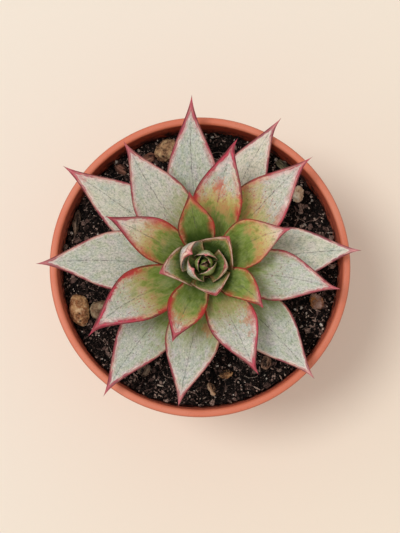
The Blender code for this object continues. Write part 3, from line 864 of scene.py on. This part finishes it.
# For each leaf: degrees off the spiral, length, width and sideways bow in mm, its hooked tip in mm and how
# full its tip is; then the share of its length that is green, the side that stays green for longer, the
# strength of its flush, of its crimson stains, of its cream cast and of its powder; and the middle (share of
# the length, share of the half width) and size in mm of a stain
leaves = {
    9: (13, 19.0, 16.0, 0.0, 0.0, 0.25, 0.52, 0.0, 0.1, 1.0, 0.0, 0.9, (1.0, 0.0, 4.6)),
    10: (1, 18.5, 17.5, 0.0, 0.0, 0.25, 0.8, 0.0, 0.4, 0.6, 0.0, 0.4, (1.0, 0.0, 3.4)),
    11: (5, 26.0, 16.5, -2.0, 0.0, 0.25, 0.57, 0.0, 0.1, 0.7, 0.1, 0.9, (1.0, 0.0, 3.6)),
    12: (-6, 39.0, 13.0, 2.5, 0.0, 0.2, 0.66, -0.9, 0.4, 0.9, 0.1, 0.7, (0.84, 0.8, 4.8)),
    13: (1, 36.5, 14.5, 0.5, 0.0, 0.25, 0.86, 0.0, 1.0, 1.0, 0.0, 0.6, (0.74, -0.9, 3.6)),
    14: (6, 42.0, 15.0, -1.0, 0.0, 0.25, 0.58, 0.2, 0.4, 1.4, 0.3, 0.9, (0.82, -0.5, 7.0)),
    15: (3, 41.0, 18.5, 2.5, 0.0, 0.25, 0.58, 0.1, 0.85, 0.5, 1.0, 0.7, (0.42, 0.1, 0.0)),
    16: (0, 49.5, 16.5, -1.0, 0.0, 0.25, 0.5, 0.4, 0.7, 1.0, 0.9, 1.0, (0.54, -0.8, 4.0)),
    17: (0, 53.5, 19.0, 0.5, 0.6, 0.08, 0.3, 0.2, 0.3, 1.0, 0.0, 1.0, (0.52, 0.85, 5.2)),
    18: (6, 53.5, 19.5, 1.5, -0.9, 0.15, 0.47, -0.2, 1.0, 1.4, 0.0, 1.4, (0.56, 0.05, 2.8)),
    19: (3, 57.0, 21.0, -4.0, 0.4, 0.12, 0.42, 0.0, 0.5, 1.6, 0.0, 1.0, (0.62, 0.9, 3.6)),
    20: (2, 54.0, 20.5, 2.0, 0.4, 0.12, 0.32, 0.0, 0.06, 0.5, 0.0, 1.0, (0.5, 0.0, 0.0)),
    21: (0, 58.0, 22.5, 1.0, 0.3, 0.2, 0.26, -0.8, 0.2, 0.4, 0.25, 1.0, (0.8, 0.8, 2.0)),
    22: (-3, 55.0, 21.5, 0.0, 0.0, 0.25, 0.37, 0.0, 0.15, 0.3, 0.0, 1.0, (0.34, 0.5, 2.4)),
    23: (7, 57.0, 22.0, 1.5, -0.5, 0.12, 0.42, 0.8, 1.0, 0.6, 0.1, 1.25, (0.56, -0.95, 5.5)),
    24: (3, 64.0, 24.0, -2.5, 0.0, 0.25, 0.2, 0.0, 0.03, 0.2, 0.15, 1.1, (0.9, 0.6, 1.5)),
    25: (-1, 57.0, 22.0, 1.5, 0.0, 0.25, 0.36, 0.0, 0.05, 0.0, 0.0, 1.0, (0.8, 0.9, 0.0)),
    26: (3, 63.5, 21.0, 2.5, 0.0, 0.25, 0.26, 0.0, 0.08, 0.7, 0.0, 1.0, (0.88, -0.6, 2.0)),
    27: (2, 60.0, 21.5, -3.0, 0.0, 0.22, 0.36, 0.4, 0.08, 0.45, 0.0, 1.0, (0.84, 0.5, 3.0)),
    28: (-1, 55.5, 22.5, 2.0, 0.0, 0.25, 0.18, 0.0, 0.05, 0.0, 0.4, 1.0, (0.86, 0.2, 1.0)),
    29: (0, 63.5, 21.5, -1.0, 0.0, 0.3, 0.18, 0.0, 0.08, 0.4, 0.4, 1.0, (0.88, 0.0, 2.4)),
    31: (4, 60.0, 20.0, 3.0, -0.4, 0.22, 0.26, -0.6, 0.3, 0.2, 0.65, 1.15, (0.7, -0.9, 0.0)),
}
leafColours = {
    "bloom": colour(200, 200, 191),
    "bloomCool": colour(186, 192, 185),
    "bloomLilac": colour(199, 191, 193),
    "bloomGreen": colour(176, 186, 156),
    "bloomCream": colour(238, 226, 204),
    "bloomThin": colour(130, 140, 120),
    "bloomBright": colour(236, 230, 220),
    "green": colour(120, 142, 58),
    "greenPale": colour(166, 174, 98),
    "greenDeep": colour(58, 80, 26),
    "olive": colour(156, 144, 78),
    "yellow": colour(210, 196, 118),
    "tan": colour(208, 170, 118),
    "orange": colour(206, 114, 70),
    "amber": colour(182, 126, 58),
    "rose": colour(190, 106, 106),
    "crimson": colour(176, 44, 70),
    "ember": colour(196, 66, 56),
    "dusty": colour(176, 98, 100),
    "mauve": colour(144, 68, 80),
    "edge": colour(108, 34, 42),
    "rust": colour(162, 58, 40),
    "rustDark": colour(92, 42, 22),
    "glow": colour(226, 158, 108),
    "peach": colour(228, 186, 166),
    "rimPale": colour(255, 226, 204),
    "rimCream": colour(240, 214, 206),
    "tip": colour(212, 78, 98),
    "tipPale": colour(216, 140, 142),
    "fleck": colour(104, 116, 90),
    "fleckDark": colour(72, 76, 64),
    "vein": colour(84, 76, 74),
}


def leafMaterial():
    look = leafColours
    made, tree, shader = newMaterial("echeveria leaf", {
        "Specular IOR Level": 0.3, "Subsurface Weight": 0.1, "Subsurface Radius": (1.0, 0.9, 0.5),
        "Subsurface Scale": 1.0 * mm})
    side, run, margin = attribute(tree, "leafPlace").parts()
    along, across, upper = attribute(tree, "leafForm").parts()
    greenTo, flush, stain = attribute(tree, "leafTone").parts()
    rimWidth, paleRim, cream = attribute(tree, "leafRim").parts()
    stainRun, stainSide, stainSize = attribute(tree, "leafStain").parts()
    seed, lean, powder = attribute(tree, "leafOwn").parts()
    grownUp = 1 - paleRim

    def over(sideScale, runScale, step=0.0):
        return joined(tree, side * sideScale, run * runScale, seed * 3.7 + step)

    def alongRim(scale, step):
        return grain(joined(tree, across * 2.0, run * scale, seed * 2.9 + step), 1.0, 3.0, 0.6)

    broad = grain(over(0.13, 0.1), 1.0, 2.0)
    patch = grain(over(0.34, 0.22, 5.0), 1.0, 3.0, 0.6)
    island = grain(over(0.5, 0.3, 33.0), 1.0, 4.0, 0.6)
    streak = grain(over(1.4, 0.28, 9.0), 1.0, 4.0, 0.65)
    mottle = grain(over(1.6, 0.95, 13.0), 1.0, 4.0, 0.8)
    speck = grain(over(2.4, 1.5, 17.0), 1.0, 2.0, 0.55)
    dots = grain(over(1.5, 0.9, 21.0), 1.0, 1.0, 0.4)

    # how far past its green base a point is; the underside is powdered nearly down to the base
    upperPast = along - greenTo - lean * across * 0.14 + patch.sway(0.3) + streak.sway(0.12)
    past = between(along - 0.12 - paleRim * 0.45, upperPast, upper)
    flushed = (flush * upper * (1 + lean * across)).atMost(1.0)

    # flesh: deep green at the stem, partly painted shade where the leaves crowd round it, then green, and
    # where it is flushed olive, yellow, tan, amber, orange and rose
    torn = island + mottle.sway(0.3)
    warm = past.eased(-0.14, 0.02) * torn.eased(0.5, 0.62)
    blush = (past + streak.sway(0.4)).eased(-0.05, 0.15) * torn.fading(0.36, 0.48)
    flesh = coated(
        look["greenDeep"],
        # paleRim holds the young leaves deeper green: painted shade in the heart
        ((past + broad.sway(0.3) - paleRim * 0.22).eased(-0.75, -0.12), look["green"]),
        (streak.eased(0.4, 0.64) * past.eased(-0.6, -0.1) * 0.5, look["greenPale"]),
        (island.eased(0.5, 0.66) * past.fading(-0.3, 0.0) * 0.45, look["greenDeep"]),
        (flushed * past.eased(-0.2, -0.02) * 0.85, look["olive"]),
        (flushed * past.eased(-0.16, 0.02) * patch.eased(0.28, 0.46) * 0.95, look["yellow"]),
        (flushed * (past + island.sway(0.6)).eased(0.0, 0.16) * 0.25, look["tan"]),
        (flushed * past.bell(-0.02, 0.09) * patch.eased(0.42, 0.56) * 0.75, look["amber"]),
        (flushed * warm * 0.38, look["orange"]),
        (flushed.atLeast(stain * 0.3) * upper * blush * 0.5, look["rose"]))

    # bloom: a pale powder in close greys, greens and lilacs, thin at first over the green
    bloom = coated(
        look["bloomCool"],
        (broad.eased(0.38, 0.62), look["bloom"]),
        (patch.eased(0.46, 0.64) * 0.9, look["bloomLilac"]),
        (island.fading(0.4, 0.56) * (0.4 + 0.55 * abs(across)), look["bloomGreen"]),
        (cream * patch.eased(0.3, 0.5), look["bloomCream"]),
        (mottle.eased(0.5, 0.64) * 0.66, look["bloomThin"]),
        (mottle.fading(0.38, 0.5) * 0.6, look["bloomBright"]))
    cover = past.eased(flush * 0.08 - 0.24, 0.28 + flush * 0.08) * powder
    dust = upper * (1 - across * across) * past.eased(-0.7, -0.1) * patch.eased(0.35, 0.6)
    dust = dust * (0.16 - flush * 0.08)
    powdered = (cover * (0.85 + mottle.sway(0.9)) + streak.sway(cover) * 0.5).eased(0.0, 0.9).atLeast(dust)
    scorched = (dots.eased(0.6, 0.68) * flushed.atLeast(stain * 0.6) * past.bell(0.08, 0.15)
                * patch.eased(0.38, 0.52))

    # dark midrib, broken into dashes in the outer half
    dash = grain(joined(tree, 0.0, run * 0.6, seed * 5.1), 1.0, 2.0).eased(0.46, 0.56)
    drift = grain(joined(tree, 3.0, run * 0.25, seed * 2.3), 1.0, 1.0).sway(0.7)
    rib = abs(side - drift).fading(0.06, 0.3) * (0.4 + 0.6 * dash)
    rib = rib * along.eased(0.28, 0.45) * along.fading(0.82, 0.93) * upper * grownUp

    # a broken stain of the leaf's own, from orange over the green to rose over the powder
    away = distance(side - stainSide, (run - stainRun) * 0.6) / stainSize.atLeast(0.01)
    blot = (away + island.sway(2.6) + streak.sway(1.5) + mottle.sway(1.5)).fading(0.1, 1.1)
    warmHere = past.fading(-0.05, 0.3) * upper
    blotShade = coated(
        look["rose"],
        (warmHere * 0.8 + (streak - 0.5), look["orange"]),
        (along.eased(0.7, 0.84), look["tip"]),
        (margin.fading(0.5, 3.0) * 0.8, look["crimson"]))

    # rims: a dark outline and a dusty band, with a pale line inside them; a thin rust line round the green.
    # A young leaf's band is pale, and it fades towards the foot.
    wobble = alongRim(0.5, 27.0)
    hue = alongRim(0.14, 51.0)
    hueHere = hue + wobble.sway(0.4)
    paleMost = paleRim.atMost(1.0)
    outer = past.eased(-0.12, 0.25).atLeast(paleRim)
    wider = 1 + (0.5 + paleRim * 0.7) * along.eased(0.6, 0.95)
    width = rimWidth * (0.5 + 0.45 * outer) * (0.35 + 1.3 * wobble) * wider
    far = margin / (width * (1 - paleMost * along.fading(0.4, 0.85) * 0.4))
    faded = paleMost * along.fading(0.22, 0.42) * 0.85
    pale = far.fading(1.0, 2.2 + flush * 1.6) * (0.35 + 0.5 * wobble.eased(0.4, 0.6)) * (1 - faded)
    patchy = (hue + mottle.sway(0.4) - lean * across * 0.07).eased(0.42, 0.58) * stain
    patchy = patchy.atLeast(flush * patch.eased(0.4, 0.55) * 0.6)
    stained = margin.fading(0.6, 3.6) * patchy * along.eased(0.25, 0.4) * grownUp
    tipShade = mixColour(stain * 1.4 + blot, look["tipPale"], look["tip"])
    tipward = (along + mottle.sway(0.06)).eased(0.9, 0.98) * grownUp
    tipEnd = (along + mottle.sway(0.1) + paleRim * stain * 0.15).eased(0.86, 0.97)
    rusty = mixColour(hueHere.eased(0.42, 0.56), look["rustDark"], look["rust"])
    band = coated(
        look["dusty"],
        ((hue + wobble.sway(0.5)).eased(0.46, 0.6), look["mauve"]),
        (hue.fading(0.4, 0.54) * (0.9 - stain * 0.8), look["peach"]),
        (patchy * 0.7, look["tip"]),
        (paleMost * 0.7, look["rust"]),
        (paleRim * (0.15 + hueHere.eased(0.4, 0.5) * 0.75), look["rimPale"]),
        (warmHere * grownUp * 0.85, rusty),
        (tipEnd.atLeast(blot) * 0.85, tipShade))
    edge = far.fading(0.2 - paleRim * 0.14, 0.65 - paleRim * 0.4)
    outline = edge.atLeast(far.bell(1.0, 0.14) * (0.35 + paleRim * 0.4))
    edgeShade = mixColour(paleRim * 0.5, look["edge"], look["rust"])
    edgeShade = mixColour(warmHere * grownUp, edgeShade, rusty)

    base = coated(
        flesh,
        (powdered * 0.94, bloom),
        (speck.eased(0.58, 0.68) * (0.1 + 0.25 * powdered) * (1 - cream * 0.6), look["fleck"]),
        (dots.eased(0.65, 0.73) * powdered * (0.5 - cream * 0.3), look["fleckDark"]),
        (scorched * 0.65, look["crimson"]),
        (rib * 0.6, look["vein"]),
        (blot.eased(0.0, 0.4) * (1 - blot) * warmHere * grownUp * 0.6, look["glow"]),
        (blot * upper * (0.35 + stain * 0.38), blotShade),
        (pale, mixColour(warmHere * 0.9, look["rimCream"], look["glow"])),
        (stained * 0.8, mixColour(warmHere * 0.8, look["crimson"], look["ember"])),
        (tipward * 0.75, tipShade),
        (far.fading(0.85, 1.2) * (0.9 - faded), band),
        (outline * (0.85 - along.eased(0.88, 0.97) * 0.5), edgeShade),
        (along.eased(0.97, 0.99) * grownUp * 0.6, look["edge"]))
    finish = between(0.5, 0.78, powdered) - far.fading(0.5, 1.2) * 0.1
    height = mottle * 0.4 + speck * 0.25 + streak * 0.35
    finishMaterial(tree, shader, base, finish, height, 0.25 * mm, 0.5)
    return made


def leafTree():
    numbers = (
        "foot", "length", "width", "thickness", "lowSlope", "highSlope", "cup", "bow", "hook", "azimuth",
        "centreX", "centreY", "height", "straight", "point", "greenTo", "lean", "flush", "stain", "cream",
        "rim", "paleRim", "powder", "stainRun", "stainSide", "stainSize", "seed")
    tree, given = growTree("echeveria leaf", {
        "stations": 2, "sides": 3, **dict.fromkeys(numbers, 0.0), "material": leafFinish})
    shape = leafShape
    grid = Wire.add(tree, "GeometryNodeMeshGrid", {}, {
        "Size X": 1.0, "Size Y": 1.0, "Vertices X": given["stations"], "Vertices Y": given["sides"]})
    x, y, z = here(tree).parts()
    walked = x + 0.5
    turn = (y + 0.5) * (-2 * math.pi)
    along = (walked - shape["cap"]).atLeast(0.0) / (1 - shape["cap"])
    closing = (walked / shape["cap"]).atMost(1.0)
    across = turn.cos()
    lift = turn.sin()
    above = lift > 0.0
    seed = given["seed"]
    straight = given["straight"]

    # half width: out to the widest place, then drawn in to a point; a young leaf has straighter sides
    quarter = math.pi / 2
    widest = between(*shape["widestAt"], straight)
    outward = between(shape["baseShare"], 1.0, (along / widest * quarter).sin())
    toTip = ((1 - along) / (1 - widest)).atMost(1.0)
    curved = between(toTip.eased(), (toTip * quarter).sin(), given["point"])
    tapered = between(toTip, (toTip * quarter).sin(), given["point"])
    share = between(outward, between(curved, tapered, straight), along > widest)
    half = given["width"] * 0.5 * share
    thick = given["thickness"] * between(shape["baseThickness"], 1.0, (along / shape["thickestFrom"]).eased())
    thick = thick * (1 - along ** 2.2).atLeast(0.0) ** 0.8

    # the section: a fleshy lens with round edges, raised margins, a shallow groove and a keel below
    middle = 1 - across * across
    swell = between(middle, abs(lift), shape["edgeRound"])
    spread = half * across
    nearRib = (abs(spread) / (2 * shape["grooveWidth"])).fading()
    groove = nearRib * along.eased(0.1, 0.3) * along.fading(0.7, 0.95) * shape["groove"]
    top = thick * swell * shape["upperShare"] - groove
    below = thick * swell * (1 - shape["upperShare"])
    below = below * (1 + shape["keel"] * nearRib * along.eased(0.35, 0.7))
    acrossScale, alongScale = shape["reliefScale"]
    there = joined(tree, spread * acrossScale, along * given["length"] * alongScale, seed)
    relief = grain(there, 1.0, 2.0) - 0.5
    ripple = grain(joined(tree, across * 1.3, along * 4.5, seed + 40.0), 1.0, 1.0) - 0.5
    calm = along.eased(0.1, 0.35) * along.fading(0.85, 1.0)
    rise = given["cup"] * half * across * across + between(-below, top, above)
    uneven = relief * 2 * shape["relief"] * middle + ripple * 2 * shape["wave"] * across * across
    rise = (rise + calm * uneven) * closing

    # the midrib bends evenly from its slope at the stem to its slope at the tip
    low, high = given["lowSlope"], given["highSlope"]
    slope = between(low, high, along)
    clasp = (along / shape["claspShare"]).eased()
    lean = slope * clasp
    bend = high - low
    foot = given["foot"]
    radius = foot + given["length"] * (slope.sin() - low.sin()) / bend - rise * lean.sin()
    height = given["length"] * (low.cos() - slope.cos()) / bend + rise * lean.cos()
    bow = given["bow"] * 4 * along * (1 - along) + given["hook"] * along.eased(shape["hookFrom"], 1.0) ** 2.0
    sideways = spread * closing + bow
    wrap = (half * abs(across) * closing).atMost(foot * 0.9)
    radius = radius - (foot - (foot * foot - wrap * wrap).root()) * (1 - clasp)

    turned = given["azimuth"]
    spot = joined(tree, given["centreX"] + radius * turned.cos() - sideways * turned.sin(),
                  given["centreY"] + radius * turned.sin() + sideways * turned.cos(),
                  given["height"] + height)
    run = along * given["length"]
    fromRim = half * (1 - abs(across))
    marked = {
        "leafPlace": (spread / mm, run / mm, fromRim / mm),
        "leafForm": (along, across, above),
        "leafTone": (given["greenTo"], given["flush"], given["stain"]),
        "leafRim": (given["rim"], given["paleRim"], given["cream"]),
        "leafStain": (given["stainRun"], given["stainSide"], given["stainSize"]),
        "leafOwn": (seed, given["lean"], given["powder"]),
    }
    mesh = grid
    for name, values in marked.items():
        mesh = keep(mesh, name, joined(tree, *values), "FLOAT_VECTOR")
    mesh = setPlace(mesh, "Position", spot)
    mesh = Wire.add(tree, "GeometryNodeMergeByDistance", {}, {
        "Geometry": mesh, "Distance": shape["mergeWithin"]})
    endTree(mesh, given["material"])
    return tree


leafFinish = leafMaterial()
leafGrowth = leafTree()


def leafAzimuth(leaf, swing):
    return math.radians(rosette["firstAzimuth"] + rosette["divergence"] * leaf + swing)


def buildLeaf(leaf, order):
    swing, length, width, bow, hook, point, greenTo, lean, flush, stain, cream, powder, blot = leaves[leaf]
    young = (rosette["oldest"] - leaf) / (rosette["oldest"] - rosette["youngestAge"])
    slope = between(*rosette["slope"], young ** rosette["slopeCurve"])
    straight = clamped((young - rosette["straightFrom"]) / rosette["straightOver"])
    pale = max(straight * 2 - 1, 0.0)
    height = rosette["lowestLeaf"] + (rosette["oldest"] - leaf) * rosette["spacing"]
    thickness = between(*leafShape["thickness"], young)
    mesh = grown(f"leaf {order}", leafGrowth, {
        "stations": leafShape["stations"], "sides": leafShape["sides"] + 1, "length": length * mm,
        "width": width * mm, "bow": bow * mm, "hook": hook * mm, "thickness": thickness,
        "foot": stemRadius(height - thickness / 2) + rosette["clearance"], "lowSlope": math.radians(slope),
        "highSlope": math.radians(slope + between(*rosette["bend"], young)),
        "cup": between(*leafShape["cup"], young), "azimuth": leafAzimuth(leaf, swing), "centreX": stemX,
        "centreY": stemY, "height": height, "straight": straight, "point": point, "greenTo": greenTo,
        "lean": lean, "flush": flush, "stain": stain, "cream": cream, "powder": powder, "paleRim": pale,
        "rim": leafShape["rim"] + leafShape["stainedRim"] * stain + leafShape["paleRim"] * pale,
        "stainRun": blot[0] * length, "stainSide": blot[1] * width / 2, "stainSize": blot[2],
        "seed": float(leaf), "material": leafFinish})
    place(f"rosetteLeaf{order:02d}", mesh, "leaf", f"leaf_{order:02d}")


for order, leaf in enumerate(sorted(leaves), start=1):
    buildLeaf(leaf, order)
print("leaves grown:", len(leaves))


# Heart: lean is how far its middle stands off the stem's. The other pairs are for its youngest leaf and its
# oldest, and each row of nine starts with the youngest: sizes are in mm, slopes and swings in degrees.
heart = {
    "stations": 44,
    "sides": 30,
    "lean": (-0.8 * mm, 0.5 * mm),
    "foot": (0.8 * mm, 3.9 * mm),
    "step": (5.0 * mm, 1.0 * mm),
    "thickness": (1.1 * mm, 1.9 * mm),
    "swings": (0, 0, 0, 0, 0, 0, -10, -7, 12),
    "sizes": {
        "length": (5.5, 6.5, 7.5, 8.5, 9.5, 11.0, 14.0, 13.5, 19.0),
        "width": (4.4, 5.4, 6.4, 7.4, 8.5, 9.5, 11.5, 13.0, 14.5),
    },
    "slopes": {
        "lowSlope": (74, 70, 66, 62, 58, 54, 36, 32, 20),
        "highSlope": (118, 116, 114, 112, 120, 128, 130, 112, 148),
    },
    "looks": {
        # greenTo above 1 keeps the youngest leaves deep green all over: painted shade deep in the heart
        "greenTo": (1.3, 1.3, 1.3, 1.2, 1.0, 0.7, 0.5, 0.6, 0.3),
        "powder": (0.1, 0.1, 0.1, 0.2, 0.3, 0.5, 0.9, 0.8, 1.4),
        "rim": (0.03, 0.03, 0.05, 0.08, 0.15, 0.35, 0.5, 1.6, 1.1),
        "paleRim": (0.9, 0.9, 0.9, 0.9, 0.9, 0.9, 0.85, 1.0, 0.85),
        "stainSize": (0.3, 0.3, 0.4, 0.4, 0.5, 0.8, 0.5, 1.4, 1.2),
    },
    "alike": {"straight": 0.7, "point": 0.25, "flush": 0.1, "stain": 0.35},
    "firstSeed": 60.0,
    "coreRadius": 3.7 * mm,
    "coreTip": 1.0 * mm,
    "coreHeight": 6 * mm,
    "coreSides": 48,
    "coreMarks": {
        "leafPlace": (0, 0, 9), "leafForm": (0.5, 0, 1), "leafTone": (1, 0, 0), "leafRim": (1, 0, 0)},
}


def heartCore(middleX, middleY, baseZ):
    core = bmesh.new()
    bmesh.ops.create_cone(core, cap_ends=True, segments=heart["coreSides"], radius1=heart["coreRadius"],
                          radius2=heart["coreTip"], depth=heart["coreHeight"],
                          matrix=Matrix.Translation((middleX, middleY, baseZ + heart["coreHeight"] / 2)))
    mesh = asMesh("heart core", core)
    for name, values in heart["coreMarks"].items():
        marks = mesh.attributes.new(name, "FLOAT_VECTOR", "POINT")
        for mark in marks.data:
            mark.vector = values
    mesh.materials.append(leafFinish)
    return mesh


def buildHeart():
    baseZ = stemTop + rosette["clearance"]
    middleX, middleY = stemX + heart["lean"][0], stemY + heart["lean"][1]
    parts = [added("heart core", heartCore(middleX, middleY, baseZ))]
    for leaf, swing in enumerate(heart["swings"]):
        old = leaf / (len(heart["swings"]) - 1)
        mesh = grown("heart leaf", leafGrowth, {
            "stations": heart["stations"], "sides": heart["sides"] + 1, "foot": between(*heart["foot"], old),
            "thickness": between(*heart["thickness"], old), "cup": leafShape["cup"][1],
            "azimuth": leafAzimuth(leaf, swing), "centreX": middleX, "centreY": middleY,
            "height": baseZ + between(*heart["step"], old),
            **{key: row[leaf] * mm for key, row in heart["sizes"].items()},
            **{key: math.radians(row[leaf]) for key, row in heart["slopes"].items()},
            **{key: row[leaf] for key, row in heart["looks"].items()}, **heart["alike"],
            "stainRun": heart["sizes"]["length"][leaf], "seed": heart["firstSeed"] + leaf,
            "material": leafFinish})
        parts.append(added(f"heart leaf {leaf}", mesh))
    with bpy.context.temp_override(active_object=parts[0], selected_editable_objects=parts):
        bpy.ops.object.join()
    mesh = parts[0].data
    bpy.data.objects.remove(parts[0])
    place("rosetteHeart", mesh, "heart", "heart")


buildHeart()
print("heart grown")


# Camera at the photo's angle, the pale floor and the soft light
stage = {
    "aim": 95 * mm,
    "distance": 750 * mm,
    "tilt": 4.5,
    "mmPerPixel": 0.3984,
    "imageHeight": 533,
    "potRow": 266.2,
    "middleRow": 266.5,
    # floorSand is floorWarm painted a little darker and yellower: painted light falloff to the right and
    # front
    "floorWarm": colour(234, 223, 208),
    "floorSand": colour(233, 219, 201),
    "sunFrom": (-0.33, 0.06, 1.0),
    "sunWidth": 16.0,
    "sky": (1.0, 0.985, 0.96, 1.0),
    "sunStrength": 1.28,
    "fill": 0.665,
    "sidePlace": (-0.95, 0.1, 0.75),
    "sideSize": 0.7,
    "sidePower": 1.4,
}


def buildStage():
    camera = added("camera", bpy.data.cameras.new("camera"))
    tilt = math.radians(stage["tilt"])
    away = stage["distance"]
    tall = stage["mmPerPixel"] * mm * stage["imageHeight"]
    camera.data.sensor_fit = "VERTICAL"
    camera.data.lens = camera.data.sensor_height * away / tall
    camera.data.shift_y = (stage["potRow"] - stage["middleRow"]) / stage["imageHeight"]
    camera.location = (0, -math.sin(tilt) * away, stage["aim"] + math.cos(tilt) * away)
    camera.rotation_euler = (tilt, 0, 0)
    bpy.context.scene.camera = camera

    work = bmesh.new()
    bmesh.ops.create_grid(work, x_segments=1, y_segments=1, size=3.0)
    mesh = asMesh("floor", work)
    made, tree, shader = newMaterial("pale table", {"Specular IOR Level": 0.2})
    spot = objectPlace(tree)
    x, y, z = spot.parts()
    # painted light falloff: the floor is a little darker and yellower towards the right and the front, away
    # from the light
    shade = mixColour((x - y * 0.7).eased(-0.12, 0.16), stage["floorWarm"], stage["floorSand"])
    finishMaterial(tree, shader, shade, between(0.7, 0.8, grain(spot, 30.0)))
    mesh.materials.append(made)
    added("floor", mesh)

    sun = added("soft sun", bpy.data.lights.new("soft sun", "SUN"))
    sun.data.energy = stage["sunStrength"]
    sun.data.angle = math.radians(stage["sunWidth"])
    sun.rotation_euler = Vector(stage["sunFrom"]).to_track_quat("Z", "Y").to_euler()
    panel = added("side panel", bpy.data.lights.new("side panel", "AREA"))
    panel.data.energy = stage["sidePower"]
    panel.data.size = stage["sideSize"]
    panel.location = stage["sidePlace"]
    panel.rotation_euler = (panel.location - Vector((0, 0, stage["aim"]))).to_track_quat("Z", "Y").to_euler()

    world = bpy.data.worlds.new("studio")
    world.use_nodes = True
    background = world.node_tree.nodes["Background"]
    background.inputs["Color"].default_value = stage["sky"]
    background.inputs["Strength"].default_value = stage["fill"]
    bpy.context.scene.world = world
    bpy.context.scene.view_settings.view_transform = "Standard"


buildStage()
print("stage set")
